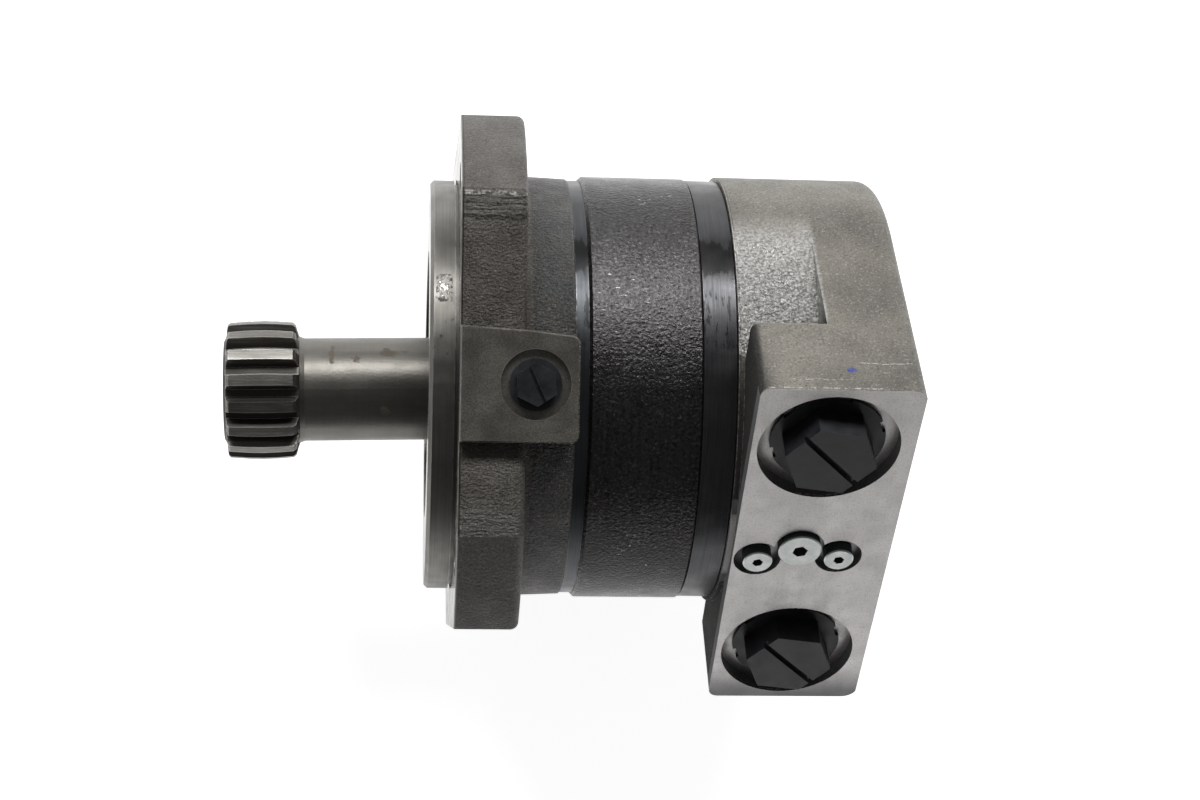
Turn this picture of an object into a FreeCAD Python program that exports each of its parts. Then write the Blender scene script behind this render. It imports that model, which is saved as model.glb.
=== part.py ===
"""Low-speed, high-torque orbital hydraulic motor without shaft bearings.

A seven-roller geroler drives a crowned drive link that sticks out of the
mounting pilot.  A rotating disc valve in the rear housing feeds the geroler.

Frame: millimetres.  The origin is the centre of the mounting face.
+X is the motor axis and points out of the drive end.
+Z is the direction the drain boss faces.
The port face looks half way between +Y and +Z.
"""
import FreeCAD
import Part
import math
import os

V = FreeCAD.Vector
AXIS = V(1, 0, 0)
ORIGIN = V(0, 0, 0)

# ---- stations along the motor axis (x) ----
PILOT_FRONT = 9.9
FLANGE_REAR = -22.6
WEAR_FRONT = -40.4
GEROLER_FRONT = -45.0
GEROLER_REAR = -84.2
PLATE_REAR = -96.5
HOUSING_REAR = -155.2

# ---- mounting flange ----
PILOT_R = 76.2
PILOT_CHAMFER = 1.3
UNDERCUT_R = 74.6
FLANGE_HALF = 90.4
FLANGE_CORNER_R = 108.0
FLANGE_TURN = 4.9
BOLT_CIRCLE_R = 92.075
MOUNT_HOLE_R = 7.15
NECK_FRONT_R = 78.5
NECK_REAR_R = 77.8
FRONT_RECESS_R = 50.0
FRONT_RECESS_DEPTH = 9.0
FLANGE_BORE_R = 33.0

# ---- drain boss and its port ----
BOSS_HALF_WIDTH = 19.5
BOSS_REAR = -40.2
BOSS_TOP = 98.0
DRAIN_X = -25.4
DRAIN_SPOT_R = 11.9
DRAIN_SPOT_DEPTH = 2.0
DRAIN_THREAD_R = 6.6

# ---- stack of rings ----
WEAR_R = 77.3
GEROLER_R = 78.85
GEROLER_CHAMFER = 1.1
GEROLER_REAR_BREAK = 0.4
PLATE_R = 78.3
STACK_BOLT_R = 66.0
STACK_BOLT_SHANK = 6.35
STACK_BOLT_HOLE = 6.6
SEAL_R = 75.0
SEAL_CORD = 1.0

# ---- geroler ----
ROLLER_COUNT = 7
ROLLER_PITCH_R = 49.0
ROLLER_R = 9.5
ROLLER_FIT = 0.05
ECCENTRIC = 4.0
FIRST_ROLLER = 45.0
ORBIT_ANGLE = 270.0
STAR_ANGLE = (7 * FIRST_ROLLER - ORBIT_ANGLE) / 6.0
END_GAP = 0.05

# ---- drive link ----
LINK_REAR_X = -58.0
LINK_FRONT = V(70.3, 3.2, 0)
LINK_SHANK_R = 19.2
LINK_TEETH = 16
LINK_PHASE = 8.0
CROWN_R = 110.0

# ---- valve housing ----
BACK_R = 79.8
PORT_ANGLE = 45.0
PORT_FACE_H = 82.4
MILLING = 3.2
WALL_AT_AXIS = 79.8
WALL_AT_FACE = 82.0
PAD_FRONT = -98.5
PAD_FOOT_H = 49.5
STEP_X = -124.5
PORT_X = -125.0
PORT_U = 54.4
PORT_SPOT_R = 24.5
PORT_SPOT_DEPTH = 5.5
PORT_THREAD_R = 15.6
CENTRE_PLUG = (-121.9, -3.4)
CHECK_PLUGS = ((-107.5, 2.8), (-136.4, 1.05))
CHECK_BALL_R = 3.4
CHECK_SEAT_R = 2.0

os.makedirs("parts", exist_ok=True)


def save(name, shape):
    """Write one node."""
    shape.exportStep("parts/" + name + ".step")


def rod(x0, x1, r, y=0.0, z=0.0):
    """Cylinder parallel to the motor axis."""
    low = min(x0, x1)
    return Part.makeCylinder(r, abs(x1 - x0), V(low, y, z), AXIS)


def tube(x0, x1, r_out, r_in):
    bore = rod(min(x0, x1) - 1, max(x0, x1) + 1, r_in)
    return rod(x0, x1, r_out).cut(bore)


def polar(radius, degrees):
    """Point in the cross-section, measured from +Y towards +Z."""
    a = math.radians(degrees)
    return radius * math.cos(a), radius * math.sin(a)


def lathe(points):
    """Solid of revolution about the x axis from (x, r) points."""
    wire = Part.makePolygon([V(x, 0, r) for x, r in points + points[:1]])
    return Part.Face(wire).revolve(ORIGIN, AXIS, 360)


def torus(x, r, cord):
    return Part.makeTorus(r, cord, V(x, 0, 0), AXIS)


def groove(x, r, cord, depth, side):
    """Rectangular face groove.  side is +1 when the groove opens towards +X."""
    half = cord * 1.35
    return tube(x - side * depth, x + side, r + half, r - half)


def stack_angles():
    """Angles of the assembly bolts, half way between the rollers."""
    step = 360.0 / ROLLER_COUNT
    return [FIRST_ROLLER + step / 2 + k * step for k in range(ROLLER_COUNT)]


def stack_holes(x0, x1, r):
    holes = [rod(x0, x1, r, *polar(STACK_BOLT_R, a)) for a in stack_angles()]
    return Part.makeCompound(holes)


def port_frame(x, u, h):
    """Point on the port side: u across the port face, h out along its normal."""
    a = math.radians(PORT_ANGLE)
    return V(x, math.sin(a) * h + math.cos(a) * u, math.cos(a) * h - math.sin(a) * u)


PORT_NORMAL = port_frame(0, 0, 1)


def port_rod(x, u, h0, h1, r, r_top=None):
    """Cylinder or cone along the port normal."""
    length = h1 - h0
    if r_top is None:
        return Part.makeCylinder(r, length, port_frame(x, u, h0), PORT_NORMAL)
    return Part.makeCone(r, r_top, length, port_frame(x, u, h0), PORT_NORMAL)


def to_port(shape, x, u, h):
    """Move a shape built along +Z at the origin onto the port side."""
    turn = FreeCAD.Rotation(AXIS, -PORT_ANGLE)
    moved = shape.copy()
    moved.Placement = FreeCAD.Placement(port_frame(x, u, h), turn)
    return moved


def hexagon(across_flats, height, turn=0.0):
    """Hexagonal prism on +Z."""
    r = across_flats / math.sqrt(3)
    corners = []
    for k in range(7):
        a = math.radians(60 * k + turn)
        corners.append(V(r * math.cos(a), r * math.sin(a), 0))
    return Part.Face(Part.makePolygon(corners)).extrude(V(0, 0, height))


def sections_face(points):
    return Part.Face(Part.makePolygon(points + points[:1]))


# ---------------------------------------------------------------- flange
def flange_plate():
    side = 2 * FLANGE_HALF
    plate = Part.makeBox(-FLANGE_REAR, side, side, V(FLANGE_REAR, -FLANGE_HALF, -FLANGE_HALF))
    disc = rod(FLANGE_REAR, 0, FLANGE_CORNER_R)
    plate = plate.common(disc)
    plate.rotate(ORIGIN, AXIS, FLANGE_TURN)
    rear = [e for e in plate.Edges if abs(e.CenterOfMass.x - FLANGE_REAR) < 0.01]
    plate = plate.makeFillet(3.0, rear)
    front = [e for e in plate.Edges if abs(e.CenterOfMass.x) < 0.01]
    return plate.makeChamfer(0.25, front)


def drain_boss():
    """Boss that narrows a little on one side towards the rear."""
    foot = 40.0
    corners = [V(0, BOSS_HALF_WIDTH, foot), V(0, -BOSS_HALF_WIDTH, foot), V(FLANGE_REAR, -18.2, foot),
               V(BOSS_REAR, -16.3, foot), V(BOSS_REAR, BOSS_HALF_WIDTH, foot)]
    boss = sections_face(corners).extrude(V(0, 0, BOSS_TOP - foot))
    upright = []
    for e in boss.Edges:
        c = e.CenterOfMass
        if abs(c.z - (BOSS_TOP + foot) / 2) < 0.1 and abs(c.x - BOSS_REAR) < 0.1:
            upright.append(e)
    boss = boss.makeFillet(3.0, upright)
    rim = [e for e in boss.Edges if abs(e.CenterOfMass.z - BOSS_TOP) < 0.1]
    return boss.makeChamfer(0.5, rim)


def drain_port():
    spot = Part.makeCylinder(DRAIN_SPOT_R, DRAIN_SPOT_DEPTH + 1, V(DRAIN_X, 0, BOSS_TOP - DRAIN_SPOT_DEPTH))
    thread = Part.makeCylinder(DRAIN_THREAD_R, 14, V(DRAIN_X, 0, BOSS_TOP - 14))
    mouth = Part.makeCone(DRAIN_THREAD_R, DRAIN_THREAD_R + 1.6, 2.5, V(DRAIN_X, 0, BOSS_TOP - 4.5))
    drill = Part.makeCylinder(4.0, 70, V(DRAIN_X, 0, BOSS_TOP - 71))
    return spot.fuse([thread, mouth, drill])


def mounting_holes():
    holes = []
    for k in range(4):
        y, z = polar(BOLT_CIRCLE_R, 45 + FLANGE_TURN + 90 * k)
        holes.append(rod(FLANGE_REAR - 2, 2, MOUNT_HOLE_R, y, z))
    return Part.makeCompound(holes)


def mounting_flange():
    pilot = lathe([(-12, 0), (-12, UNDERCUT_R), (1.1, UNDERCUT_R), (1.1, PILOT_R),
                   (PILOT_FRONT - PILOT_CHAMFER, PILOT_R), (PILOT_FRONT, PILOT_R - PILOT_CHAMFER),
                   (PILOT_FRONT, 0)])
    neck = lathe([(-20, 0), (-20, NECK_FRONT_R), (FLANGE_REAR, NECK_FRONT_R),
                  (WEAR_FRONT + 0.4, NECK_REAR_R), (WEAR_FRONT, NECK_REAR_R - 0.4), (WEAR_FRONT, 0)])
    fillet = lathe([(-22, 70), (-22, NECK_FRONT_R + 2.2), (FLANGE_REAR, NECK_FRONT_R + 2.2),
                    (FLANGE_REAR - 0.7, NECK_FRONT_R + 0.9), (FLANGE_REAR - 2.4, NECK_FRONT_R - 0.1),
                    (FLANGE_REAR - 2.4, 70)])
    body = flange_plate().fuse([pilot, neck, fillet, drain_boss()]).removeSplitter()
    relief = tube(-0.8, 1.1, PILOT_R + 0.3, UNDERCUT_R)
    cuts = [relief, rod(WEAR_FRONT - 1, PILOT_FRONT + 1, FLANGE_BORE_R),
            rod(PILOT_FRONT - FRONT_RECESS_DEPTH, PILOT_FRONT + 1, FRONT_RECESS_R),
            mounting_holes(), drain_port(),
            stack_holes(WEAR_FRONT - 1, WEAR_FRONT + 23, STACK_BOLT_HOLE),
            groove(WEAR_FRONT, SEAL_R, SEAL_CORD, 1.7, -1)]
    return body.cut(cuts)


def drain_plug():
    """Black moulded screw plug: threaded body, round flange, hexagon head, slot."""
    floor = BOSS_TOP - DRAIN_SPOT_DEPTH
    body = Part.makeCylinder(DRAIN_THREAD_R - 0.15, 9.5, V(0, 0, floor - 9.5))
    flange = Part.makeCylinder(8.85, 1.2, V(0, 0, floor))
    head = hexagon(12.9, 5.6, 94)
    head.translate(V(0, 0, floor))
    plug = body.fuse([flange, head]).removeSplitter()
    slot = Part.makeBox(17, 1.3, 2, V(-8.5, -0.65, floor + 4.2))
    slot.rotate(ORIGIN, V(0, 0, 1), 115)
    plug = plug.cut(slot)
    plug.translate(V(DRAIN_X, 0, 0))
    return plug


# ---------------------------------------------------------------- geroler
def wear_plate():
    plate = tube(GEROLER_FRONT, WEAR_FRONT, WEAR_R, 29.0)
    return plate.cut([stack_holes(GEROLER_FRONT - 1, WEAR_FRONT + 1, STACK_BOLT_HOLE),
                      groove(GEROLER_FRONT, SEAL_R - 0.6, SEAL_CORD, 1.7, -1)])


def geroler_ring():
    c = GEROLER_CHAMFER
    b = GEROLER_REAR_BREAK
    ring = lathe([(GEROLER_REAR, 0), (GEROLER_REAR, GEROLER_R - b), (GEROLER_REAR + b, GEROLER_R),
                  (GEROLER_FRONT - c, GEROLER_R), (GEROLER_FRONT, GEROLER_R - c), (GEROLER_FRONT, 0)])
    cuts = [rod(GEROLER_REAR - 1, GEROLER_FRONT + 1, 48.0),
            stack_holes(GEROLER_REAR - 1, GEROLER_FRONT + 1, STACK_BOLT_HOLE)]
    for k in range(ROLLER_COUNT):
        y, z = polar(ROLLER_PITCH_R, FIRST_ROLLER + k * 360.0 / ROLLER_COUNT)
        cuts.append(rod(GEROLER_REAR - 1, GEROLER_FRONT + 1, ROLLER_R + ROLLER_FIT, y, z))
    return ring.cut(cuts)


def roller(k):
    y, z = polar(ROLLER_PITCH_R, FIRST_ROLLER + k * 360.0 / ROLLER_COUNT)
    return rod(GEROLER_REAR + END_GAP, GEROLER_FRONT - END_GAP, ROLLER_R, y, z)


def star_outline():
    """Six-lobed rotor profile: inward offset of the roller-centre path."""
    points = []
    steps = 240
    offset = ROLLER_R + ROLLER_FIT
    for i in range(steps):
        t = 2 * math.pi * i / steps
        y = ROLLER_PITCH_R * math.cos(t) - ECCENTRIC * math.cos(7 * t)
        z = ROLLER_PITCH_R * math.sin(t) - ECCENTRIC * math.sin(7 * t)
        dy = -ROLLER_PITCH_R * math.sin(t) + 7 * ECCENTRIC * math.sin(7 * t)
        dz = ROLLER_PITCH_R * math.cos(t) - 7 * ECCENTRIC * math.cos(7 * t)
        size = math.hypot(dy, dz)
        points.append(V(0, y - offset * dz / size, z + offset * dy / size))
    curve = Part.BSplineCurve()
    curve.interpolate(points, PeriodicFlag=True)
    return Part.Wire(curve.toShape())


def spline_bore(x0, x1, r_minor, r_major, teeth, phase):
    """Internal spline as one cutter along +X, centred on the axis."""
    points = []
    for k in range(teeth):
        for r, off in ((r_minor, -0.27), (r_major, -0.17), (r_major, 0.17), (r_minor, 0.27)):
            y, z = polar(r, phase + (k + off) * 360.0 / teeth)
            points.append(V(x0, y, z))
    return sections_face(points).extrude(V(x1 - x0, 0, 0))


def orbit_centre():
    return polar(ECCENTRIC, ORBIT_ANGLE)


def rotor_star():
    face = Part.Face(star_outline())
    length = GEROLER_FRONT - GEROLER_REAR - 2 * END_GAP
    star = face.extrude(V(length, 0, 0))
    star.rotate(ORIGIN, AXIS, STAR_ANGLE)
    star.translate(V(GEROLER_REAR + END_GAP, 0, 0))
    bore = spline_bore(GEROLER_REAR - 1, GEROLER_FRONT + 1, 21.7, 23.9, LINK_TEETH, LINK_PHASE)
    star = star.cut(bore)
    y, z = orbit_centre()
    star.translate(V(0, y, z))
    return star


def drive_spacer():
    """Round pad between the two drives, at the centre of the orbiting rotor."""
    y, z = orbit_centre()
    return rod(-71.6, -69.6, 13.0, y, z)


# ---------------------------------------------------------------- splined links
def crowned_cutters(centre, r_root, r_tip, teeth, phase, crown, sweep, gap):
    """Tooth-space cutters that follow an arc, so root and flanks are crowned."""
    cutters = []
    pitch = 2 * math.pi / teeth
    root_half = r_root * pitch * gap[0]
    tip_half = r_tip * pitch * gap[1]
    over = r_tip + 4
    over_half = tip_half + (over - r_tip) * (tip_half - root_half) / (r_tip - r_root)
    for k in range(teeth):
        face = sections_face([V(centre, -root_half, r_root), V(centre, root_half, r_root),
                              V(centre, over_half, over), V(centre, -over_half, over)])
        face.rotate(V(centre, 0, r_root - crown), V(0, 1, 0), -sweep)
        cutter = face.revolve(V(centre, 0, r_root - crown), V(0, 1, 0), 2 * sweep)
        cutter.rotate(ORIGIN, AXIS, phase + (k + 0.5) * 360.0 / teeth - 90)
        cutters.append(cutter)
    return Part.makeCompound(cutters)


def aim(shape, start, end):
    """Swing a shape built on +X from the origin onto the line start-end."""
    turn = FreeCAD.Rotation(AXIS, end.sub(start))
    out = shape.copy()
    out.Placement = FreeCAD.Placement(start, turn).multiply(out.Placement)
    return out


def link_blank(length):
    """Turned blank of the drive link, rear spline centre at x = 0."""
    f = length
    points = [(-10.8, 0), (-10.8, 15.5), (-9.2, 20.6), (-5, 22.35), (0, 22.6), (5, 22.35),
              (9.2, 21.6), (11.5, 17.6), (15, 17.0), (24, 17.0), (31, LINK_SHANK_R), (f - 15.2, LINK_SHANK_R),
              (f - 13.4, 19.9), (f - 12.7, 21.8), (f - 12.0, 24.4), (f - 11.0, 25.25), (f - 5.5, 25.66),
              (f, 25.8), (f + 5.5, 25.66), (f + 12.2, 25.15), (f + 12.9, 24.4), (f + 13.3, 21.2),
              (f + 13.6, 19.6), (f + 14.3, 18.4), (f + 14.3, 0)]
    return lathe(points)


def drive_link():
    y, z = orbit_centre()
    start = V(LINK_REAR_X, y, z)
    length = LINK_FRONT.sub(start).Length
    blank = link_blank(length)
    front = crowned_cutters(length, 21.4, 25.8, LINK_TEETH, LINK_PHASE, CROWN_R, 10.5, (0.17, 0.30))
    rear = crowned_cutters(0, 20.3, 22.6, LINK_TEETH, LINK_PHASE, 60.0, 14.0, (0.22, 0.30))
    centre_hole = lathe([(length + 6, 0), (length + 9, 1.6), (length + 12, 1.6), (length + 15, 4.8), (length + 15, 0)])
    link = blank.cut([front, rear, centre_hole])
    return aim(link, start, LINK_FRONT)


VALVE_DRIVE_FRONT_X = -77.6
VALVE_DRIVE_REAR_X = -115.0


def valve_drive():
    """Short link that carries the rotor's spin to the disc valve."""
    y, z = orbit_centre()
    start = V(VALVE_DRIVE_REAR_X, 0, 0)
    end = V(VALVE_DRIVE_FRONT_X, y, z)
    f = end.sub(start).Length
    blank = lathe([(-5.6, 0), (-5.6, 9.5), (-3.5, 12.1), (0, 12.6), (3.5, 12.1), (6.0, 9.2), (9, 8.6),
                   (f - 7.5, 8.6), (f - 4.4, 12.0), (f - 3.6, 20.0), (f - 2.4, 22.0), (f, 22.4),
                   (f + 2.4, 22.0), (f + 3.6, 20.0), (f + 4.2, 10), (f + 4.4, 0)])
    front = crowned_cutters(f, 20.1, 22.4, LINK_TEETH, LINK_PHASE, 36.0, 14.0, (0.22, 0.31))
    rear = crowned_cutters(0, 10.4, 12.6, 12, 0.0, 24.0, 18.0, (0.25, 0.35))
    return aim(blank.cut([front, rear]), start, end)


# ---------------------------------------------------------------- valve
def valve_plate():
    plate = lathe([(PLATE_REAR, 0), (PLATE_REAR, PLATE_R - 0.5), (PLATE_REAR + 0.5, PLATE_R),
                   (GEROLER_REAR - 0.5, PLATE_R), (GEROLER_REAR, PLATE_R - 0.5), (GEROLER_REAR, 0)])
    cuts = [rod(PLATE_REAR - 1, GEROLER_REAR + 1, 17.5),
            stack_holes(PLATE_REAR - 1, GEROLER_REAR + 1, STACK_BOLT_HOLE),
            groove(GEROLER_REAR, SEAL_R - 0.6, SEAL_CORD, 1.7, 1)]
    for a in stack_angles():
        y, z = polar(41.5, a)
        slot = Part.makeBox(14, 9.0, 5.0, V(PLATE_REAR - 1, -4.5, -2.5))
        slot.rotate(ORIGIN, AXIS, a)
        slot.translate(V(0, y, z))
        cuts.append(slot)
    return plate.cut(cuts)


DISC_REAR = -109.0
HUB_REAR = -121.5


def disc_valve():
    """Ported disc that turns with the rotor against the valve plate."""
    front = PLATE_REAR - 0.04
    disc = rod(DISC_REAR, front, 46.0).fuse(rod(HUB_REAR, DISC_REAR + 1, 20.0)).removeSplitter()
    cuts = [rod(-108.0, front + 1, 17.5),
            spline_bore(HUB_REAR - 1, -107.0, 11.6, 13.7, 12, 0.0)]
    for k in range(12):
        inner = k % 2 == 1
        a = 30.0 * k + 15.0
        pocket = Part.makeBox(8.0, 10.0 if inner else 11.0, 5.4, V(front - 7.5, -5.0, -2.7))
        pocket.rotate(ORIGIN, AXIS, a)
        y, z = polar(38.0 if inner else 41.0, a)
        pocket.translate(V(0, y, z))
        cuts.append(pocket)
        if inner:
            cuts.append(rod(DISC_REAR - 1, front - 6, 2.4, *polar(37.2, a)))
    return disc.cut(cuts)


RING_REAR = -121.0


def balance_ring():
    """Floating ring that seals the back of the disc valve."""
    front = DISC_REAR - 0.06
    ring = lathe([(RING_REAR, 27.0), (RING_REAR, 35.0), (-116.0, 35.0), (-116.0, 41.0), (front, 41.0),
                  (front, 30.5), (-113.0, 30.5), (-113.0, 27.0)])
    pins = [rod(RING_REAR - 1, RING_REAR + 4.1, 1.6, *polar(31.0, a)) for a in (0, 180)]
    springs = [rod(RING_REAR - 1, RING_REAR + 3.0, 3.0, *polar(31.0, a)) for a in (60, 120, 240, 300)]
    return ring.cut(pins + springs)


def balance_pins():
    """Dowels that stop the balance ring from turning."""
    return Part.makeCompound([rod(-130.0, RING_REAR + 3.9, 1.5, *polar(31.0, a)) for a in (0, 180)])


def coil(wire_r, coil_r, height, turns):
    """Compression spring standing on +Z."""
    pitch = height / turns
    helix = Part.makeHelix(pitch, height, coil_r)
    circle = Part.Wire(Part.Circle(V(coil_r, 0, 0), V(0, 1, pitch / (2 * math.pi * coil_r)), wire_r).toShape())
    return Part.Wire(helix.Edges).makePipeShell([circle], True, True)


def balance_springs():
    springs = []
    for a in (60, 120, 240, 300):
        y, z = polar(31.0, a)
        s = coil(0.45, 2.2, 8.9, 5.5)
        s.Placement = FreeCAD.Placement(V(-127.5, y, z), FreeCAD.Rotation(V(0, 0, 1), AXIS))
        springs.append(s)
    return Part.makeCompound(springs)


# ---------------------------------------------------------------- housing
def mailbox(x0, x1, h_low, h_high):
    """Drafted block standing on the port side."""
    slope = (WALL_AT_FACE - WALL_AT_AXIS) / PORT_FACE_H
    low = WALL_AT_AXIS + slope * h_low
    high = WALL_AT_AXIS + slope * h_high
    corners = [port_frame(x0, -low, h_low), port_frame(x0, -high, h_high),
               port_frame(x0, high, h_high), port_frame(x0, low, h_low)]
    return sections_face(corners).extrude(V(x1 - x0, 0, 0))


def on_rear(e):
    return abs(e.CenterOfMass.x - HOUSING_REAR) < 0.01


def housing_outside():
    front = rod(STEP_X - 2, PLATE_REAR, BACK_R)
    block = mailbox(HOUSING_REAR, STEP_X, 0, PORT_FACE_H + MILLING)
    back = rod(HOUSING_REAR, STEP_X, BACK_R).fuse(block).removeSplitter()
    back = back.makeFillet(5.8, [e for e in back.Edges if on_rear(e)])
    milled = Part.makeBox(80, 200, 20, V(-40, -100, 0))
    back = back.cut(to_port(milled, STEP_X - 10, 0, PORT_FACE_H))
    pad = mailbox(STEP_X - 2, PAD_FRONT, PAD_FOOT_H, PORT_FACE_H)
    corners = []
    for e in pad.Edges:
        c = e.CenterOfMass
        middle = (PAD_FOOT_H + PORT_FACE_H) / 2
        if abs(c.x - PAD_FRONT) < 0.01 and abs(c.dot(PORT_NORMAL) - middle) < 0.5:
            corners.append(e)
    pad = pad.makeFillet(3.5, corners)
    return back.fuse([front, pad]).removeSplitter()


def port_cutter(u):
    top = PORT_FACE_H
    floor = top - PORT_SPOT_DEPTH
    return [port_rod(PORT_X, u, floor, top + 1, PORT_SPOT_R),
            port_rod(PORT_X, u, floor - 3, floor + 0.01, PORT_THREAD_R, PORT_THREAD_R + 1.7),
            port_rod(PORT_X, u, floor - 20, floor, PORT_THREAD_R),
            port_rod(PORT_X, u, 36.0, floor, 11.0)]


def passage(start, end, r):
    run = end.sub(start)
    return Part.makeCylinder(r, run.Length, start, run)


def cavity_cutters():
    """Stepped bore for the disc valve, the balance ring and the inner galleries."""
    return [rod(-112.0, PLATE_REAR + 1, 50.0), rod(-119.5, -111.0, 41.4), rod(-128.0, -115.0, 35.3),
            rod(-128.0, -121.0, 24.0), rod(-141.0, -127.0, 22.0),
            passage(port_frame(PORT_X, -PORT_U, 44), port_frame(-106.0, -40, 12), 8.0),
            passage(port_frame(PORT_X, PORT_U, 44), port_frame(-134.0, 16, 2), 8.0)]


def plug_cutters():
    """Counterbores and cross drillings for the three cavity plugs."""
    top = PORT_FACE_H
    x, u = CENTRE_PLUG
    cuts = [port_rod(x, u, top - 2.6, top + 1, 8.9), port_rod(x, u, top - 20, top, 6.2),
            port_rod(x, u, 32.0, top, 3.0)]
    for (cx, cu), deep in zip(CHECK_PLUGS, (45.0, 18.0)):
        cuts.append(port_rod(cx, cu, top - 3.4, top + 1, 8.45))
        cuts.append(port_rod(cx, cu, top - 15, top, 4.1))
        cuts.append(port_rod(cx, cu, deep, top, CHECK_SEAT_R))
    return cuts


def housing_bolt_pockets():
    heads = [rod(HOUSING_REAR - 1, -141.5, 11.5, *polar(STACK_BOLT_R, a)) for a in stack_angles()]
    return [Part.makeCompound(heads), stack_holes(HOUSING_REAR - 1, PLATE_REAR + 1, STACK_BOLT_HOLE)]


def valve_housing():
    cuts = cavity_cutters() + plug_cutters() + port_cutter(-PORT_U) + port_cutter(PORT_U)
    cuts += housing_bolt_pockets()
    cuts += [rod(-131.0, -127.0, 1.6, *polar(31.0, a)) for a in (0, 180)]
    cuts.append(groove(PLATE_REAR, SEAL_R - 0.6, SEAL_CORD, 1.7, 1))
    return housing_outside().cut(cuts)


def assembly_bolts():
    bolts = []
    for a in stack_angles():
        y, z = polar(STACK_BOLT_R, a)
        shank = rod(-141.5, -20.0, STACK_BOLT_SHANK, y, z)
        head = hexagon(19.0, 8.0)
        head.Placement = FreeCAD.Placement(V(-149.5, y, z), FreeCAD.Rotation(V(0, 0, 1), AXIS))
        washer = rod(-142.2, -141.5, 9.3, y, z)
        bolts.append(shank.fuse([head, washer]).removeSplitter())
    return Part.makeCompound(bolts)


def port_plug(u):
    """Moulded port plug: threaded body, notched flange, tall hexagon head, slot."""
    body = Part.makeCylinder(PORT_THREAD_R - 0.25, 13, V(0, 0, -PORT_SPOT_DEPTH - 13))
    hollow = Part.makeCylinder(12.6, 12, V(0, 0, -PORT_SPOT_DEPTH - 13.5))
    flange = Part.makeCylinder(19.8, 1.5, V(0, 0, -PORT_SPOT_DEPTH))
    notches = []
    for k in range(6):
        n = Part.makeBox(2.2, 5.0, 2, V(18.6, -2.5, -PORT_SPOT_DEPTH - 0.2))
        n.rotate(ORIGIN, V(0, 0, 1), 60 * k + 20)
        notches.append(n)
    head = hexagon(28.0, 10.6, -9)
    head.translate(V(0, 0, -PORT_SPOT_DEPTH + 1.5))
    plug = body.fuse([flange, head]).removeSplitter()
    slot = Part.makeBox(40, 2.2, 3, V(-20, -1.1, -PORT_SPOT_DEPTH + 10.1))
    slot.rotate(ORIGIN, V(0, 0, 1), -47)
    return to_port(plug.cut([hollow, slot] + notches), PORT_X, u, PORT_FACE_H)


def socket_plug(place, head_r, above, floor, body_r, depth, socket):
    """Zinc plated plug: flat head that stands above the port face, hexagon socket."""
    head = Part.makeCylinder(head_r, above + floor, V(0, 0, -floor))
    rim = [e for e in head.Edges if abs(e.CenterOfMass.z - above) < 0.01]
    head = head.makeChamfer(0.4, rim)
    body = Part.makeCylinder(body_r, depth, V(0, 0, -floor - depth))
    recess = hexagon(socket, 4.2, 15)
    recess.translate(V(0, 0, above - 4.1))
    plug = head.fuse(body).removeSplitter().cut(recess)
    return to_port(plug, place[0], place[1], PORT_FACE_H)


def check_ball(place):
    """Ball resting on the rim of its seat."""
    rise = math.sqrt(CHECK_BALL_R ** 2 - CHECK_SEAT_R ** 2) + 0.02
    return Part.makeSphere(CHECK_BALL_R, port_frame(place[0], place[1], PORT_FACE_H - 15 + rise))


def plug_seals():
    rings = []
    x, u = CENTRE_PLUG
    rings.append(to_port(Part.makeTorus(6.9, 0.55), x, u, PORT_FACE_H - 2.05))
    for cx, cu in CHECK_PLUGS:
        rings.append(to_port(Part.makeTorus(4.75, 0.5), cx, cu, PORT_FACE_H - 2.9))
    return Part.makeCompound(rings)


save("mounting_flange", mounting_flange())
save("drain_plug", drain_plug())
save("wear_plate", wear_plate())
save("geroler_ring", geroler_ring())
for k in range(ROLLER_COUNT):
    save("roller_%d" % (k + 1), roller(k))
save("rotor_star", rotor_star())
save("drive_spacer", drive_spacer())
save("drive_link", drive_link())
save("valve_drive", valve_drive())
save("valve_plate", valve_plate())
save("disc_valve", disc_valve())
save("balance_ring", balance_ring())
save("balance_ring_pins", balance_pins())
save("balance_ring_springs", balance_springs())
save("balance_ring_seal", torus(-117.7, 38.2, 1.6))
save("valve_housing", valve_housing())
save("assembly_bolts", assembly_bolts())
save("port_plug_a", port_plug(-PORT_U))
save("port_plug_b", port_plug(PORT_U))
save("gallery_plug", socket_plug(CENTRE_PLUG, 7.7, 1.9, 1.4, 6.1, 9.0, 4.8))
save("check_plug_front", socket_plug(CHECK_PLUGS[0], 5.25, 1.85, 2.3, 4.0, 4.2, 3.4))
save("check_plug_rear", socket_plug(CHECK_PLUGS[1], 5.25, 1.85, 2.3, 4.0, 4.2, 3.4))
save("check_ball_front", check_ball(CHECK_PLUGS[0]))
save("check_ball_rear", check_ball(CHECK_PLUGS[1]))
save("plug_seals", plug_seals())
save("flange_seal", torus(WEAR_FRONT + 0.85, SEAL_R, SEAL_CORD * 0.85))
save("geroler_front_seal", torus(GEROLER_FRONT + 0.85, SEAL_R - 0.6, SEAL_CORD * 0.85))
save("geroler_rear_seal", torus(GEROLER_REAR - 0.85, SEAL_R - 0.6, SEAL_CORD * 0.85))
save("housing_seal", torus(PLATE_REAR - 0.85, SEAL_R - 0.6, SEAL_CORD * 0.85))
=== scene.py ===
"""Looks for the orbital hydraulic motor: procedural materials, floor, light and camera.

Lengths are metres in the frame of the motor: x along its axis, z the way the drain boss faces.
"""
import math

import bmesh
import bpy
from mathutils import Matrix, Vector


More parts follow.
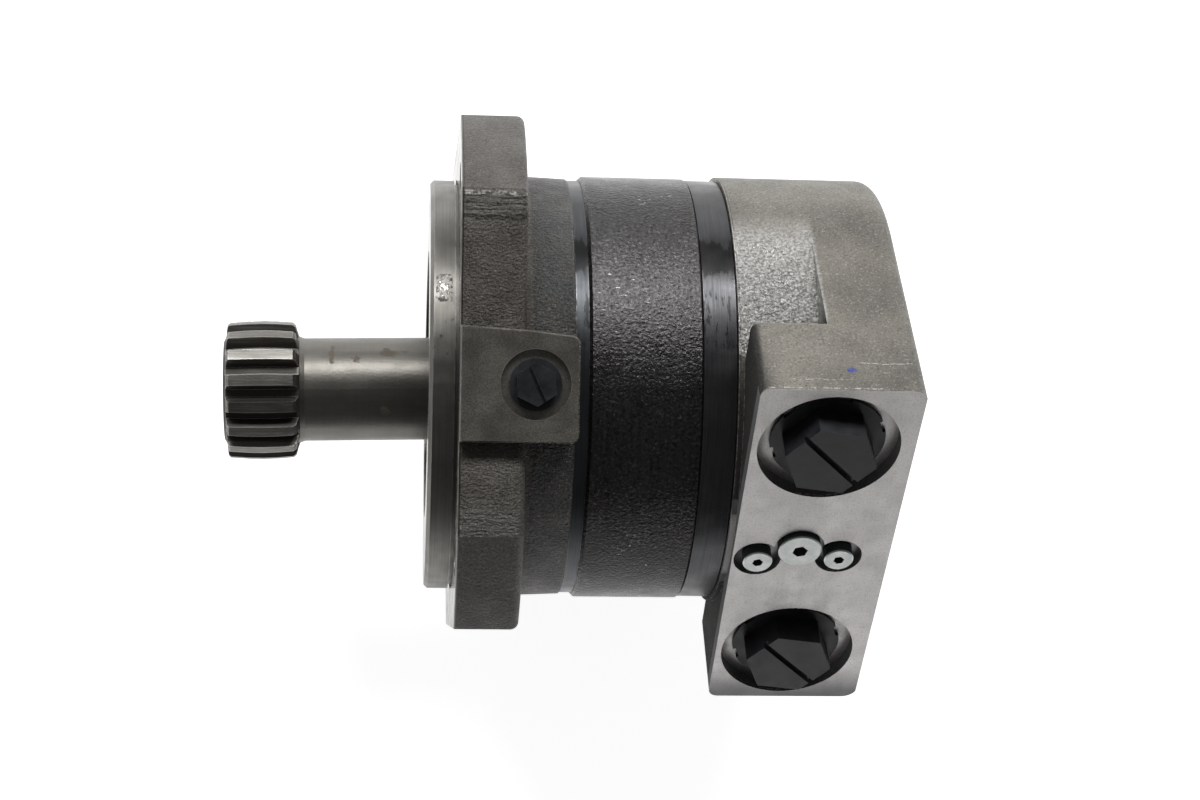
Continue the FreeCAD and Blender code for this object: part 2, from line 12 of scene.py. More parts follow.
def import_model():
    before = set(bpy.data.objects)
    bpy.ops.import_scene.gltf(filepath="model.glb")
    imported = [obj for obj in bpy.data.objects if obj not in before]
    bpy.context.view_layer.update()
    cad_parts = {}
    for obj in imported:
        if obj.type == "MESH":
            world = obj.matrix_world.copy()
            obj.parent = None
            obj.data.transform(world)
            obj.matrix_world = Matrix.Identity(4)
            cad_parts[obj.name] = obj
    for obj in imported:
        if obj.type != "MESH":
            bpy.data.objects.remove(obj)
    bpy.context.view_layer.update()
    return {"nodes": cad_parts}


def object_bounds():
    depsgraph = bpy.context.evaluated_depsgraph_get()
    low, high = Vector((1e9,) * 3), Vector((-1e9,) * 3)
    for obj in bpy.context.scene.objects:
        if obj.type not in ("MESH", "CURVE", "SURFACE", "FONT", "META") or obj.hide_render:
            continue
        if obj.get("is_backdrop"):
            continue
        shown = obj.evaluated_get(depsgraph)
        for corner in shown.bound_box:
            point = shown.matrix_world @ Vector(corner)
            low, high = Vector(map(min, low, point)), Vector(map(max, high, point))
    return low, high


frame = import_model()
nodes = frame["nodes"]
HALF = math.sqrt(0.5)
DRIVE_END = (1, 0, 0)
PORT_N = (0.0, HALF, HALF)      # normal of the port face
PORT_U = (0.0, HALF, -HALF)     # across the port face
PLUG_POCKETS = (((-0.1219, -0.0034), 0.0092), ((-0.1075, 0.0028), 0.0088), ((-0.1364, 0.00105), 0.0088))
RUST_SPOTS = (((0.0448, -0.0095), (1.8, 0.8), 0.0019), ((0.0360, -0.0088), (1.0, 1.1), 0.0012),
              ((0.0235, -0.0112), (0.5, 1.6), 0.0019), ((0.0250, 0.0100), (0.9, 1.4), 0.0013))
LINK_FROM = Vector((-0.0580, 0.0, -0.0040))
LINK_TO = Vector((0.0703, 0.0032, 0.0))
FLOOR_REACH = 60.0
FLOOR_GLOW = 0.88
LEAST_SKY = 0.09


# ---------------------------------------------------------------- node helpers
class Mat:
    """A procedural material with short helpers for its nodes."""

    def __init__(self, name, base, rough, metal, spec=0.5):
        self.mat = bpy.data.materials.new(name)
        self.mat.use_nodes = True
        self.tree = self.mat.node_tree
        self.bsdf = self.tree.nodes["Principled BSDF"]
        self.set("Base Color", (*base, 1.0))
        self.set("Roughness", rough)
        self.set("Metallic", metal)
        self.set("Specular IOR Level", spec)
        self.coord = self.add("ShaderNodeTexCoord").outputs["Object"]

    def add(self, kind, **props):
        node = self.tree.nodes.new(kind)
        for key, value in props.items():
            setattr(node, key, value)
        return node

    def link(self, a, b):
        self.tree.links.new(a, b)

    def set(self, socket, value):
        self.bsdf.inputs[socket].default_value = value

    def to(self, socket, output):
        self.link(output, self.bsdf.inputs[socket])

    def moved(self, scale=(1, 1, 1), turn=(0, 0, 0), shift=(0, 0, 0)):
        node = self.add("ShaderNodeMapping")
        node.inputs["Scale"].default_value = scale
        node.inputs["Rotation"].default_value = turn
        node.inputs["Location"].default_value = shift
        self.link(self.coord, node.inputs["Vector"])
        return node.outputs["Vector"]

    def noise(self, scale, detail=3.0, rough=0.55, vector=None):
        node = self.add("ShaderNodeTexNoise")
        node.inputs["Scale"].default_value = scale
        node.inputs["Detail"].default_value = detail
        node.inputs["Roughness"].default_value = rough
        self.link(vector or self.coord, node.inputs["Vector"])
        return node.outputs["Fac"]

    def ramp(self, value, stops):
        node = self.add("ShaderNodeValToRGB")
        ramp = node.color_ramp
        while len(ramp.elements) < len(stops):
            ramp.elements.new(0.5)
        for element, (place, colour) in zip(ramp.elements, stops):
            element.position = place
            element.color = (*colour, 1.0) if len(colour) == 3 else colour
        self.link(value, node.inputs["Fac"])
        return node.outputs["Color"]

    def step(self, value, low, high, out_low=0.0, out_high=1.0):
        node = self.add("ShaderNodeMapRange", interpolation_type="SMOOTHSTEP")
        for name, number in zip(("From Min", "From Max", "To Min", "To Max"), (low, high, out_low, out_high)):
            node.inputs[name].default_value = number
        self.link(value, node.inputs["Value"])
        return node.outputs["Result"]

    def math(self, op, a, b=None):
        node = self.add("ShaderNodeMath", operation=op)
        for socket, value in zip(node.inputs, (a, b)):
            if value is None:
                continue
            if isinstance(value, (int, float)):
                socket.default_value = value
            else:
                self.link(value, socket)
        return node.outputs[0]

    def times(self, a, b):
        return self.math("MULTIPLY", a, b)

    def either(self, a, b):
        return self.math("MAXIMUM", a, b)

    def off(self, mask):
        return self.math("SUBTRACT", 1.0, mask)

    def mix(self, factor, a, b, blend="MIX"):
        node = self.add("ShaderNodeMix", data_type="RGBA", blend_type=blend)
        if isinstance(factor, (int, float)):
            node.inputs[0].default_value = factor
        else:
            self.link(factor, node.inputs[0])
        for socket, value in ((node.inputs[6], a), (node.inputs[7], b)):
            if isinstance(value, tuple):
                socket.default_value = (*value, 1.0)
            else:
                self.link(value, socket)
        return node.outputs[2]

    def axes(self):
        node = self.add("ShaderNodeSeparateXYZ")
        self.link(self.coord, node.inputs[0])
        return node.outputs

    def radius(self):
        """Distance from the motor axis."""
        y, z = self.axes()[1:]
        return self.math("SQRT", self.math("ADD", self.times(y, y), self.times(z, z)))

    def dot(self, vector, direction):
        node = self.add("ShaderNodeVectorMath", operation="DOT_PRODUCT")
        self.link(vector, node.inputs[0])
        node.inputs[1].default_value = direction
        return node.outputs["Value"]

    def along(self, direction):
        """How far the point lies in a direction, in metres."""
        return self.dot(self.coord, direction)

    def facing(self, direction):
        return self.dot(self.add("ShaderNodeTexCoord").outputs["Normal"], direction)

    def band(self, value, centre, half, soft):
        """1 within half of the centre, falling to 0 over soft."""
        away = self.math("ABSOLUTE", self.math("SUBTRACT", value, centre))
        return self.step(away, half, half + soft, 1.0, 0.0)

    def both(self, *masks):
        out = masks[0]
        for mask in masks[1:]:
            out = self.math("MULTIPLY", out, mask)
        return out

    def reach(self, a, b, centre, squeeze=(1.0, 1.0)):
        """Distance from a centre in the plane of two coordinates."""
        total = None
        for value, place, scale in zip((a, b), centre, squeeze):
            d = self.math("MULTIPLY", self.math("SUBTRACT", value, place), scale)
            d = self.math("MULTIPLY", d, d)
            total = d if total is None else self.math("ADD", total, d)
        return self.math("SQRT", total)

    def edges(self, width, low=0.02, high=0.25):
        """1 on sharp edges, for wear from handling and for a painted highlight along edges."""
        bevel = self.add("ShaderNodeBevel", samples=4)
        bevel.inputs["Radius"].default_value = width
        flat = self.add("ShaderNodeNewGeometry").outputs["True Normal"]
        node = self.add("ShaderNodeVectorMath", operation="DOT_PRODUCT")
        self.link(bevel.outputs["Normal"], node.inputs[0])
        self.link(flat, node.inputs[1])
        return self.step(self.math("SUBTRACT", 1.0, node.outputs["Value"]), low, high)

    def around(self, along_scale, around_scale, detail=3.0):
        """Noise drawn out round the motor axis, as turning leaves it."""
        x, y, z = self.axes()
        angle = self.math("ARCTAN2", y, z)
        node = self.add("ShaderNodeCombineXYZ")
        self.link(self.math("MULTIPLY", x, along_scale), node.inputs[0])
        self.link(self.math("MULTIPLY", self.math("SINE", angle), around_scale), node.inputs[1])
        self.link(self.math("MULTIPLY", self.math("COSINE", angle), around_scale), node.inputs[2])
        return self.noise(1.0, detail, vector=node.outputs[0])

    def bump(self, parts):
        """parts: (height output, distance in metres, strength)."""
        last = None
        for height, distance, strength in parts:
            node = self.add("ShaderNodeBump")
            node.inputs["Strength"].default_value = strength
            node.inputs["Distance"].default_value = distance
            self.link(height, node.inputs["Height"])
            if last is not None:
                self.link(last, node.inputs["Normal"])
            last = node.outputs["Normal"]
        self.to("Normal", last)


def use(material, *names):
    for name in names:
        obj = nodes[name]
        obj.data.materials.clear()
        obj.data.materials.append(material.mat)


# ---------------------------------------------------------------- castings
def flange_material():
    """Sand-cast, oily skin with turned pilot, turned mounting face and milled boss top."""
    m = Mat("oiled_casting", (0.07, 0.066, 0.06), 0.5, 0.35, 0.3)
    x, y, z = m.axes()
    r = m.radius()
    pilot = m.step(x, -0.0009, -0.0002)
    face = m.both(m.step(m.facing(DRIVE_END), 0.97, 0.99), m.step(x, -0.0009, -0.0003))
    boss = m.both(m.step(z, 0.0955, 0.0958), m.step(m.facing((0, 0, 1)), 0.9, 0.99))
    spot = m.step(z, 0.0965, 0.0975, 1.0, 0.0)
    bore = m.step(r, 0.0505, 0.0515, 1.0, 0.0)
    neck = m.both(m.step(x, -0.0262, -0.0250, 1.0, 0.0), m.step(r, 0.0790, 0.0800, 1.0, 0.0))
    lobe = m.step(r, 0.1000, 0.1050)
    skin = m.ramp(m.noise(55, 5, 0.6), [(0.3, (0.060, 0.054, 0.046)), (0.5, (0.100, 0.092, 0.080)),
                                        (0.72, (0.15, 0.141, 0.127))])
    grain = m.noise(1500, 3, 0.6)
    skin = m.mix(m.both(lobe, m.step(m.noise(30, 3), 0.3, 0.7, 0.4, 0.8)), skin, (0.115, 0.111, 0.105))
    skin = m.mix(m.both(neck, m.step(m.noise(80, 4), 0.3, 0.7, 0.45, 0.85)), skin, (0.078, 0.082, 0.084))
    skin = m.mix(m.step(grain, 0.54, 0.68, 0.0, 0.4), skin, (0.29, 0.28, 0.255))
    skin = m.mix(m.step(grain, 0.34, 0.46, 0.45, 0.0), skin, (0.020, 0.018, 0.016))
    # Painted shading: the low lobe and the ends of the neck.
    low = m.either(m.step(y, 0.062, 0.082), m.times(m.step(y, -0.072, -0.060, 1.0, 0.0), neck))
    skin = m.mix(m.times(low, 0.35), skin, (0.018, 0.017, 0.016))
    skin = m.mix(bore, skin, (0.045, 0.042, 0.038))
    turned = m.ramp(m.around(2600, 2, 3), [(0.3, (0.155, 0.150, 0.138)), (0.7, (0.205, 0.199, 0.186))])
    turned = m.mix(m.step(m.noise(50, 4), 0.4, 0.7, 0.0, 0.5), turned, (0.11, 0.104, 0.092))
    dents = m.step(m.noise(260, 3, 0.7), 0.62, 0.70)
    turned = m.mix(m.both(dents, m.band(y, -0.012, 0.010, 0.012)), turned, (0.10, 0.09, 0.08))
    # Dents on the pilot: real marks in the bump, painted near white as a painted glint.
    nick = m.both(m.band(y, -0.0330, 0.0028, 0.0022), m.band(x, 0.0052, 0.0014, 0.0016),
                  m.step(m.noise(520, 4, 0.75), 0.50, 0.56))
    turned = m.mix(nick, turned, (0.95, 0.94, 0.93))
    colour = m.mix(pilot, skin, turned)
    top = m.ramp(m.noise(1900, 3, 0.7), [(0.36, (0.17, 0.160, 0.138)), (0.64, (0.33, 0.315, 0.28))])
    top = m.mix(m.step(m.noise(45, 3), 0.4, 0.65, 0.0, 0.4), top, (0.13, 0.122, 0.104))
    colour = m.mix(boss, colour, m.mix(m.times(spot, 0.2), top, (0.13, 0.125, 0.112)))
    # Edge wear, and a painted highlight along the edges.
    worn_and_edge_highlight = m.both(m.edges(0.0007), m.step(m.noise(240, 3), 0.35, 0.6, 0.25, 1.0))
    colour = m.mix(m.times(worn_and_edge_highlight, 0.8), colour, (0.5, 0.49, 0.47))
    glint = m.both(m.step(m.facing(DRIVE_END), 0.3, 0.6, 1.0, 0.0), m.band(y, -0.0648, 0.0003, 0.0009),
                   m.step(r, 0.085, 0.090), m.step(m.noise(330, 4, 0.7), 0.45, 0.58))
    colour = m.mix(m.times(glint, 0.6), colour, (0.60, 0.59, 0.57))
    m.to("Base Color", colour)
    cut = m.either(pilot, m.either(boss, worn_and_edge_highlight))
    m.to("Metallic", m.math("ADD", 0.5, m.times(m.either(cut, neck), 0.4)))
    rough = m.step(m.noise(120, 3), 0.3, 0.7, 0.38, 0.50)
    rough = m.math("SUBTRACT", rough, m.times(cut, 0.04))
    m.to("Roughness", m.math("SUBTRACT", rough, m.times(face, 0.18)))
    plain = m.off(m.either(pilot, boss))
    calm = m.off(m.times(lobe, 0.45))
    peel = m.noise(1.0, 3, 0.6, vector=m.moved(scale=(850, 1150, 1150)))
    ridges = m.noise(1.0, 3, 0.6, vector=m.moved(scale=(60, 620, 620)))
    rows = m.either(m.band(y, -0.0612, 0.003, 0.003), m.times(m.band(y, 0.046, 0.001, 0.008), 0.35))
    rows = m.both(rows, m.step(neck, 0.2, 0.6, 1.0, 0.0))
    m.bump([(m.both(grain, plain), 0.0005, 0.7),
            (m.both(peel, plain, calm), 0.0012, 1.0),
            (m.both(ridges, plain, rows), 0.0016, 0.9),
            (m.both(m.noise(170, 3), plain), 0.0012, 0.5),
            (nick, 0.0008, 0.9),
            (m.both(m.around(3500, 3, 2), pilot), 0.00004, 0.5)])
    return m


def housing_material():
    """Light blasted casting with a milled port face, parting-line ridges and a paint dot."""
    m = Mat("light_casting", (0.36, 0.35, 0.325), 0.6, 0.25)
    x, y = m.axes()[:2]
    h = m.along(PORT_N)
    u = m.along(PORT_U)
    side = m.step(m.facing(tuple(-c for c in PORT_U)), 0.9, 0.97)
    level = m.step(m.facing(PORT_N), 0.97, 0.99)
    milled = m.both(level, m.step(h, 0.0760, 0.0765))
    front = m.step(x, -0.0973, -0.0968)
    coarse = m.both(m.step(x, -0.1262, -0.1242), m.step(h, 0.047, 0.0495, 1.0, 0.0),
                    m.band(y, -0.033, 0.015, 0.016))
    # The rough skin above the port block, painted with the speckle of a highlight.
    glitter = m.ramp(m.noise(1000, 4, 0.7), [(0.38, (0.22, 0.216, 0.206)), (0.64, (0.80, 0.79, 0.77))])
    skin = m.ramp(m.noise(38, 5, 0.6), [(0.32, (0.095, 0.088, 0.076)), (0.5, (0.150, 0.140, 0.118)),
                                        (0.68, (0.205, 0.190, 0.160))])
    grain = m.noise(1300, 3, 0.65)
    skin = m.mix(m.step(grain, 0.55, 0.68, 0.0, 0.6), skin, (0.36, 0.35, 0.32))
    skin = m.mix(m.step(grain, 0.32, 0.46, 0.75, 0.0), skin, (0.045, 0.04, 0.034))
    skin = m.mix(m.times(coarse, 0.85), skin, glitter)
    plane = m.ramp(m.noise(60, 4, 0.6), [(0.3, (0.60, 0.580, 0.568)), (0.7, (0.74, 0.718, 0.703))])
    plane = m.mix(m.step(m.noise(1400, 3, 0.7), 0.36, 0.5, 0.35, 0.0), plane, (0.30, 0.285, 0.28))
    lines = m.noise(1.0, 2, vector=m.moved(scale=(2600, 60, 60)))
    plane = m.mix(m.step(lines, 0.4, 0.7, 0.0, 0.15), plane, (0.84, 0.825, 0.815))
    # Painted shading: the port face darkens towards its lower end.
    plane = m.mix(m.step(u, 0.060, 0.082, 0.0, 0.88), plane, (0.12, 0.118, 0.125))
    # Painted shading, fixed to the casting: the walls that face the drive end are near black in low light.
    shade = m.both(m.step(m.facing(DRIVE_END), 0.15, 0.75), m.step(h, 0.030, 0.050),
                   m.step(h, 0.0815, 0.0820, 1.0, 0.0))
    # Painted shade as well: a strip of the housing's front on the port side.
    rim = m.both(m.step(x, -0.1050, -0.0990), m.step(y, -0.016, 0.006),
                 m.step(h, 0.0812, 0.0816, 1.0, 0.0))
    shaded = m.either(shade, rim)
    skin = m.mix(m.times(shaded, 0.9), skin, (0.018, 0.017, 0.016))
    colour = m.mix(milled, skin, plane)
    # Painted light: the pockets round the zinc plugs are lightened against the shade in them.
    near = None
    for place, size in PLUG_POCKETS:
        spot = m.step(m.reach(x, u, place), size - 0.0002, size + 0.0001, 1.0, 0.0)
        near = spot if near is None else m.either(near, spot)
    sunk = m.step(h, 0.0819, 0.0823, 1.0, 0.0)
    colour = m.mix(m.both(near, sunk), colour, (0.34, 0.347, 0.355))
    # The walls of the port counterbores get an even machined tone, lightened as painted light against their
    # shade.
    counter = m.both(m.step(h, 0.0765, 0.0769), sunk, m.step(level, 0.4, 0.6, 1.0, 0.0),
                     m.step(m.facing((-1, 0, 0)), 0.9, 0.95, 1.0, 0.0))
    counter = m.both(counter, m.step(m.math("ABSOLUTE", u), 0.0779, 0.0785, 1.0, 0.0))
    colour = m.mix(counter, colour, (0.17, 0.168, 0.168))
    wander = m.math("ADD", h, m.times(m.math("SUBTRACT", m.noise(130, 2), 0.5), 0.0016))
    ridge = m.either(m.both(m.band(wander, 0.0690, 0.00005, 0.0003), m.step(x, -0.1330, -0.1325, 1.0, 0.0)),
                     m.both(m.band(wander, 0.0234, 0.00005, 0.0003), m.band(x, -0.1290, 0.0045, 0.0005)))
    thin = m.both(m.band(wander, 0.0772, 0.00005, 0.00025), m.band(x, -0.1190, 0.0080, 0.004))
    burr = m.both(m.band(wander, 0.0814, 0.00015, 0.0004), m.band(x, -0.1180, 0.0200, 0.003))
    ridge = m.either(ridge, m.either(thin, burr))
    ridge = m.both(ridge, side, m.step(m.noise(700, 3, 0.7), 0.42, 0.56))
    # Edge wear, and a painted highlight along the edges.
    worn_and_edge_highlight = m.both(m.edges(0.0006), m.step(m.noise(500, 3), 0.42, 0.58, 0.1, 1.0))
    light = m.either(m.times(ridge, 0.8), m.times(worn_and_edge_highlight, 0.6))
    colour = m.mix(light, colour, (0.6, 0.59, 0.56))
    dot = m.step(m.reach(x, h, (-0.1299, 0.0724), (1.0, 1.5)), 0.0015, 0.0019, 1.0, 0.0)
    dot = m.both(side, dot, m.step(m.noise(900, 3), 0.36, 0.44))
    colour = m.mix(dot, colour, (0.03, 0.05, 0.25))
    m.to("Base Color", colour)
    lit = m.off(shaded)
    m.to("Metallic", m.both(m.math("ADD", 0.45, m.times(m.either(milled, coarse), 0.35)), lit))
    rough = m.math("SUBTRACT", m.step(m.noise(150, 3), 0.3, 0.7, 0.40, 0.52), m.times(milled, 0.04))
    rough = m.math("SUBTRACT", rough, m.times(coarse, 0.14))
    m.to("Roughness", m.math("ADD", rough, m.times(shaded, 0.45)))
    cast = m.off(m.either(milled, front))
    m.bump([(m.both(grain, cast), 0.0006, 0.9),
            (m.both(m.noise(780, 3, 0.65), coarse), 0.0016, 1.0),
            (m.both(m.noise(260, 4), cast), 0.0009, 0.5),
            (ridge, 0.0004, 0.8),
            (m.both(lines, milled), 0.00001, 0.4)])
    return m


# ---------------------------------------------------------------- steels
def ring_dark():
    """Roughly turned, dark ring with an orange-peel skin."""
    m = Mat("rough_turned_steel", (0.06, 0.055, 0.05), 0.3, 0.9, 0.3)
    y = m.axes()[1]
    streak = m.around(900, 3, 4)
    colour = m.ramp(streak, [(0.3, (0.050, 0.048, 0.047)), (0.7, (0.072, 0.070, 0.070))])
    colour = m.mix(m.step(m.noise(40, 4), 0.45, 0.7, 0.0, 0.6), colour, (0.042, 0.036, 0.035))
    peel = m.noise(900, 3, 0.6)
    colour = m.mix(m.step(peel, 0.54, 0.68, 0.0, 0.5), colour, (0.16, 0.163, 0.175))
    colour = m.mix(m.step(peel, 0.34, 0.46, 0.7, 0.0), colour, (0.014, 0.013, 0.013))
    # Painted shading: the upper and lower edges of the ring.
    edge = m.either(m.step(y, 0.040, 0.070, 0.0, 0.9), m.step(y, -0.074, -0.050, 0.8, 0.0))
    colour = m.mix(edge, colour, (0.010, 0.009, 0.009))
    nick = m.noise(1.0, 2, vector=m.moved(scale=(160, 1500, 1500)))
    nick = m.both(m.step(nick, 0.68, 0.74), m.step(m.noise(35, 2), 0.5, 0.6))
    fleck = m.both(m.step(m.noise(700, 3, 0.7), 0.64, 0.70), m.step(m.noise(60, 3), 0.55, 0.66))
    colour = m.mix(m.either(nick, fleck), colour, (0.42, 0.42, 0.43))
    m.to("Base Color", colour)
    m.to("Roughness", m.step(m.noise(90, 4), 0.3, 0.7, 0.24, 0.33))
    m.bump([(peel, 0.0007, 0.6), (m.noise(230, 3), 0.0005, 0.25), (streak, 0.00006, 0.4)])
    return m


def ground(name, dark, light, rough, metal=0.85, line=2400, worn_and_edge_highlight=0.35, banded_and_shaded=False):
    """Ground or finely turned steel with fine lines round the axis."""
    m = Mat(name, dark, rough, metal)
    streak = m.around(line, 3, 3)
    colour = m.ramp(streak, [(0.3, dark), (0.7, light)])
    colour = m.mix(m.step(m.noise(45, 4), 0.4, 0.7, 0.0, 0.35), colour, tuple(0.5 * c for c in dark))
    if worn_and_edge_highlight:
        # Edge wear, and a painted highlight along the edges.
        bright = m.both(m.edges(0.0006), m.step(m.noise(300, 3), 0.3, 0.6))
        colour = m.mix(m.times(bright, worn_and_edge_highlight), colour, (0.5, 0.49, 0.47))
    if banded_and_shaded:
        y = m.axes()[1]
        m.set("Specular IOR Level", 0.25)
        # Painted shade: darker towards the upper edge.
        colour = m.mix(m.step(y, -0.074, -0.052, 0.6, 0.0), colour, (0.014, 0.014, 0.015))
        # A ragged dark band along the plate, and short dark streaks below it.
        edge = m.noise(1.0, 4, 0.7, vector=m.moved(scale=(500, 90, 90)))
        ragged = m.math("ADD", y, m.times(m.math("SUBTRACT", edge, 0.5), 0.012))
        dark_band = m.band(ragged, -0.0455, 0.0045, 0.002)
        dark_streaks = m.both(m.step(edge, 0.53, 0.60), m.band(y, -0.024, 0.008, 0.004))
        colour = m.mix(m.times(m.either(dark_band, dark_streaks), 0.8), colour, (0.018, 0.018, 0.018))
    m.to("Base Color", colour)
    m.to("Roughness", m.step(m.noise(110, 4), 0.3, 0.7, rough - 0.05, rough + 0.08))
    m.bump([(streak, 0.00005, 0.5), (m.noise(1600, 2), 0.00006, 0.4)])
    return m


def link_material():
    """Satin, hardened steel: bright tooth crests, dark roots, streaks and a little rust on the shank."""
    m = Mat("satin_drive_steel", (0.3, 0.29, 0.27), 0.34, 0.95)
    axis = (LINK_TO - LINK_FROM).normalized()
    shift = m.add("ShaderNodeVectorMath", operation="SUBTRACT")
    m.link(m.coord, shift.inputs[0])
    shift.inputs[1].default_value = LINK_FROM
    t = m.dot(shift.outputs[0], axis)
    size = m.add("ShaderNodeVectorMath", operation="LENGTH")
    m.link(shift.outputs[0], size.inputs[0])
    s = size.outputs["Value"]
    r = m.math("SQRT", m.math("SUBTRACT", m.times(s, s), m.times(t, t)))
    teeth = m.step(t, 0.1150, 0.1165)
    streak = m.noise(1.0, 4, 0.6, vector=m.moved(scale=(40, 260, 260)))
    turned = m.noise(1.0, 3, vector=m.moved(scale=(1900, 40, 40)))
    colour = m.ramp(streak, [(0.3, (0.135, 0.128, 0.115)), (0.7, (0.170, 0.163, 0.149))])
    colour = m.mix(m.step(turned, 0.4, 0.7, 0.0, 0.06), colour, (0.28, 0.27, 0.255))
    comb = m.noise(1.0, 3, vector=m.moved(scale=(30, 1500, 1500)))
    colour = m.mix(m.both(teeth, m.step(comb, 0.45, 0.7, 0.0, 0.6)), colour, (0.30, 0.295, 0.285))
    root = m.both(teeth, m.step(r, 0.0222, 0.0246, 1.0, 0.0))
    colour = m.mix(m.times(root, 0.8), colour, (0.07, 0.066, 0.06))
    # Tooth edge wear, and a painted highlight along the edges.
    worn_and_edge_highlight = m.both(m.edges(0.0005), teeth)
    colour = m.mix(m.times(worn_and_edge_highlight, 0.9), colour, (0.8, 0.79, 0.77))
    x, y = m.axes()[:2]
    shape = m.times(m.math("SUBTRACT", m.noise(260, 4, 0.7), 0.5), 0.010)
    rust = m.both(m.step(m.noise(170, 5, 0.7), 0.58, 0.72), m.step(m.noise(26, 2), 0.5, 0.62),
                  m.off(teeth), 0.35)
    for place, squeeze, reach in RUST_SPOTS:
        near = m.math("ADD", m.reach(x, y, place, squeeze), shape)
        rust = m.either(rust, m.step(near, reach * 0.6, reach * 1.3, 0.85, 0.0))
    colour = m.mix(m.times(rust, 0.75), colour, (0.085, 0.060, 0.036))
    m.to("Base Color", colour)
    m.to("Metallic", m.step(rust, 0.0, 0.8, 0.95, 0.3))
    rough = m.step(m.noise(90, 4), 0.3, 0.7, 0.37, 0.45)
    rough = m.math("ADD", rough, m.times(m.either(root, rust), 0.25))
    m.to("Roughness", rough)
    m.bump([(turned, 0.00003, 0.4), (m.noise(1100, 3), 0.00012, 0.5)])
    return m


def zinc():
    m = Mat("zinc_plate", (0.7, 0.72, 0.71), 0.36, 0.75)
    h = m.along(PORT_N)
    wash = m.ramp(m.noise(260, 3), [(0.3, (0.60, 0.64, 0.62)), (0.7, (0.80, 0.82, 0.80))])
    # Painted shade: the sockets and side walls of the plugs are darkened.
    sunk = m.both(m.step(h, 0.0818, 0.0838, 1.0, 0.0), m.step(m.facing(PORT_N), 0.5, 0.9))
    wall = m.step(m.facing(PORT_N), 0.3, 0.8, 1.0, 0.0)
    dark = m.either(sunk, wall)
    m.to("Base Color", m.mix(m.times(dark, 0.85), wash, (0.06, 0.075, 0.075)))
    m.to("Roughness", m.step(m.noise(500, 3), 0.3, 0.7, 0.3, 0.45))
    m.bump([(m.noise(1800, 2), 0.00006, 0.4)])
    return m


def plastic():
    """Moulded black plastic, scuffed on its edges."""
    m = Mat("black_plastic", (0.012, 0.013, 0.015), 0.42, 0.0, 0.45)
    cloud = m.noise(180, 4)
    colour = m.ramp(cloud, [(0.3, (0.008, 0.009, 0.011)), (0.7, (0.020, 0.022, 0.026))])
    scuff = m.both(m.edges(0.0005), m.step(m.noise(700, 3), 0.4, 0.6))
    m.to("Base Color", m.mix(m.times(scuff, 0.5), colour, (0.09, 0.095, 0.105)))
    m.to("Roughness", m.step(cloud, 0.3, 0.7, 0.38, 0.52))
    m.bump([(m.noise(2200, 2), 0.00008, 0.4), (m.noise(160, 2), 0.0003, 0.2)])
    return m


def rubber():
    m = Mat("seal_rubber", (0.02, 0.02, 0.02), 0.6, 0.0)
    m.to("Base Color", m.ramp(m.noise(500, 3), [(0.3, (0.012, 0.012, 0.012)), (0.7, (0.03, 0.03, 0.03))]))
    m.bump([(m.noise(3000, 2), 0.00005, 0.4)])
    return m


use(flange_material(), "mounting_flange")
use(housing_material(), "valve_housing")
use(ring_dark(), "geroler_ring")
use(ground("dark_ground_steel", (0.046, 0.049, 0.052), (0.072, 0.077, 0.082), 0.33, banded_and_shaded=True),
    "wear_plate")
use(ground("oiled_ground_steel", (0.052, 0.052, 0.054), (0.080, 0.082, 0.086), 0.31, banded_and_shaded=True),
    "valve_plate")
use(link_material(), "drive_link")
use(zinc(), "gallery_plug", "check_plug_front", "check_plug_rear")
use(plastic(), "port_plug_a", "port_plug_b", "drain_plug")
use(ground("hardened_steel", (0.36, 0.36, 0.36), (0.52, 0.52, 0.52), 0.24),
    "rotor_star", "disc_valve", "balance_ring", *["roller_%d" % k for k in range(1, 8)])
use(ground("inner_drive_steel", (0.24, 0.235, 0.22), (0.38, 0.37, 0.35), 0.34), "valve_drive", "drive_spacer")
use(ground("black_oxide", (0.03, 0.03, 0.032), (0.06, 0.06, 0.062), 0.38),
    "assembly_bolts", "balance_ring_pins")
use(ground("spring_and_ball_steel", (0.40, 0.40, 0.40), (0.55, 0.55, 0.55), 0.2, worn_and_edge_highlight=0),
    "balance_ring_springs", "check_ball_front", "check_ball_rear")
use(rubber(), "flange_seal", "geroler_front_seal", "geroler_rear_seal", "housing_seal",
    "balance_ring_seal", "plug_seals")


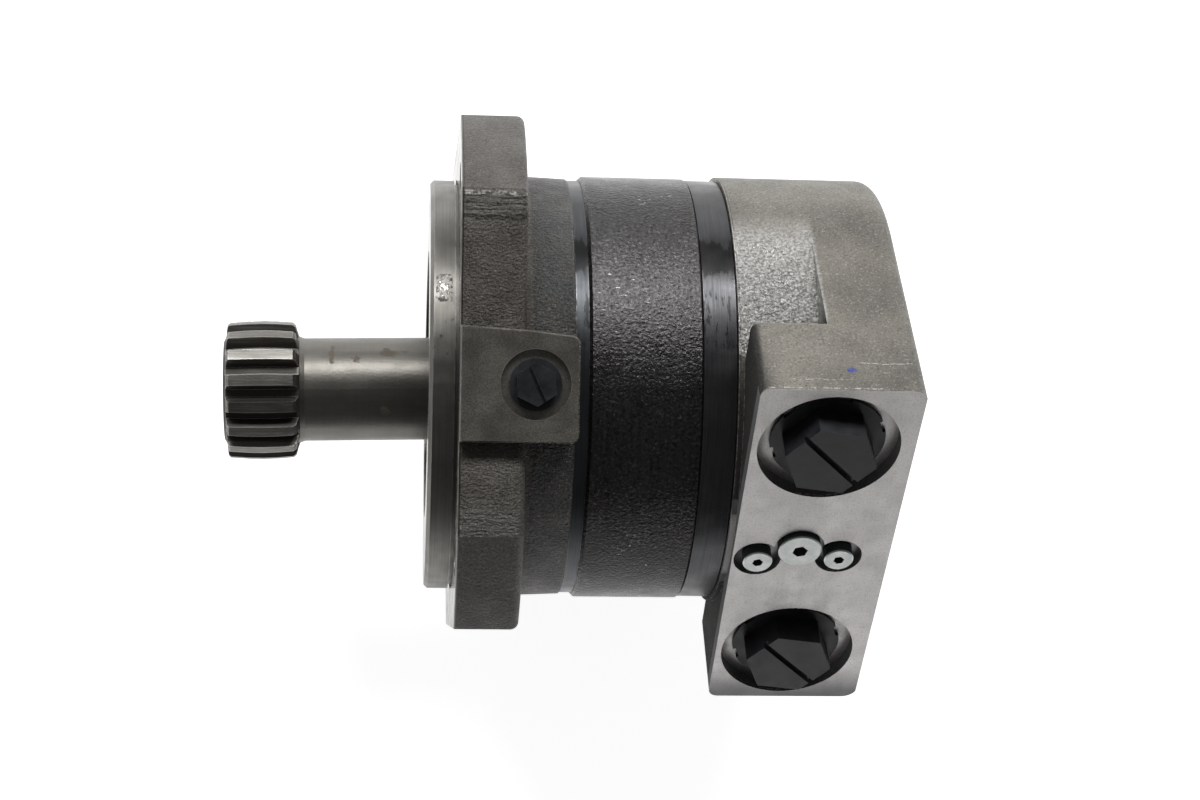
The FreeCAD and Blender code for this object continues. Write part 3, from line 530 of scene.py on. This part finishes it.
# ---------------------------------------------------------------- stage, lights, camera
def floor(level):
    mesh = bpy.data.meshes.new("floor")
    bm = bmesh.new()
    bmesh.ops.create_grid(bm, x_segments=1, y_segments=1, size=FLOOR_REACH)
    bm.to_mesh(mesh)
    bm.free()
    obj = bpy.data.objects.new("floor", mesh)
    obj.location = (0, 0, level)
    bpy.context.scene.collection.objects.link(obj)
    m = Mat("floor", (0.92, 0.92, 0.92), 0.9, 0.0, 0.1)
    m.set("Emission Color", (1.0, 1.0, 1.0, 1.0))
    m.set("Emission Strength", FLOOR_GLOW)
    mesh.materials.append(m.mat)
    obj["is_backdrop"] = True


def area(name, place, target, size, power, colour=(1, 1, 1)):
    data = bpy.data.lights.new(name, "AREA")
    data.shape = "RECTANGLE"
    data.size, data.size_y = size
    data.energy = power
    data.color = colour
    obj = bpy.data.objects.new(name, data)
    obj.location = place
    obj.rotation_euler = (Vector(target) - Vector(place)).to_track_quat("-Z", "Y").to_euler()
    bpy.context.scene.collection.objects.link(obj)


def world():
    """Studio surroundings: dark overhead, bright towards -Y and round the horizon."""
    w = bpy.data.worlds.new("studio")
    bpy.context.scene.world = w
    w.use_nodes = True
    tree = w.node_tree
    split = tree.nodes.new("ShaderNodeSeparateXYZ")
    tree.links.new(tree.nodes.new("ShaderNodeTexCoord").outputs["Generated"], split.inputs[0])

    def fade(socket, span):
        node = tree.nodes.new("ShaderNodeMapRange")
        node.interpolation_type = "SMOOTHSTEP"
        for name, number in zip(("From Min", "From Max", "To Min", "To Max"), span):
            node.inputs[name].default_value = number
        tree.links.new(socket, node.inputs["Value"])
        return node.outputs[0]

    low_sky = fade(split.outputs[2], (0.05, 0.75, 0.72, 0.0))
    near_side = fade(split.outputs[1], (-0.6, 0.3, 0.50, 0.03))
    both = tree.nodes.new("ShaderNodeMath")
    both.operation = "MULTIPLY_ADD"
    tree.links.new(low_sky, both.inputs[0])
    tree.links.new(near_side, both.inputs[1])
    both.inputs[2].default_value = LEAST_SKY
    sky = tree.nodes["Background"]
    sky.inputs["Color"].default_value = (1, 1, 1, 1)
    tree.links.new(both.outputs[0], sky.inputs["Strength"])


def camera():
    data = bpy.data.cameras.new("camera")
    data.lens = 68.5
    data.sensor_width = 36
    data.clip_start = 0.01
    obj = bpy.data.objects.new("camera", data)
    right = Vector((-0.99601, -0.01689, 0.08760))
    up = Vector((0.01674, -0.99986, -0.00256))
    back = right.cross(up)
    place = Matrix((right, up, back)).transposed().to_4x4()
    place.translation = (0.02002, 0.00395, 0.85876)
    obj.matrix_world = place
    bpy.context.scene.collection.objects.link(obj)
    bpy.context.scene.camera = obj


floor(min(c[2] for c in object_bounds()))
world()
camera()
area("overhead_softbox", (-0.04, -1.155, 0.945), (-0.04, 0, 0.02), (1.5, 0.34), 21)
bpy.context.scene.view_settings.view_transform = "Standard"
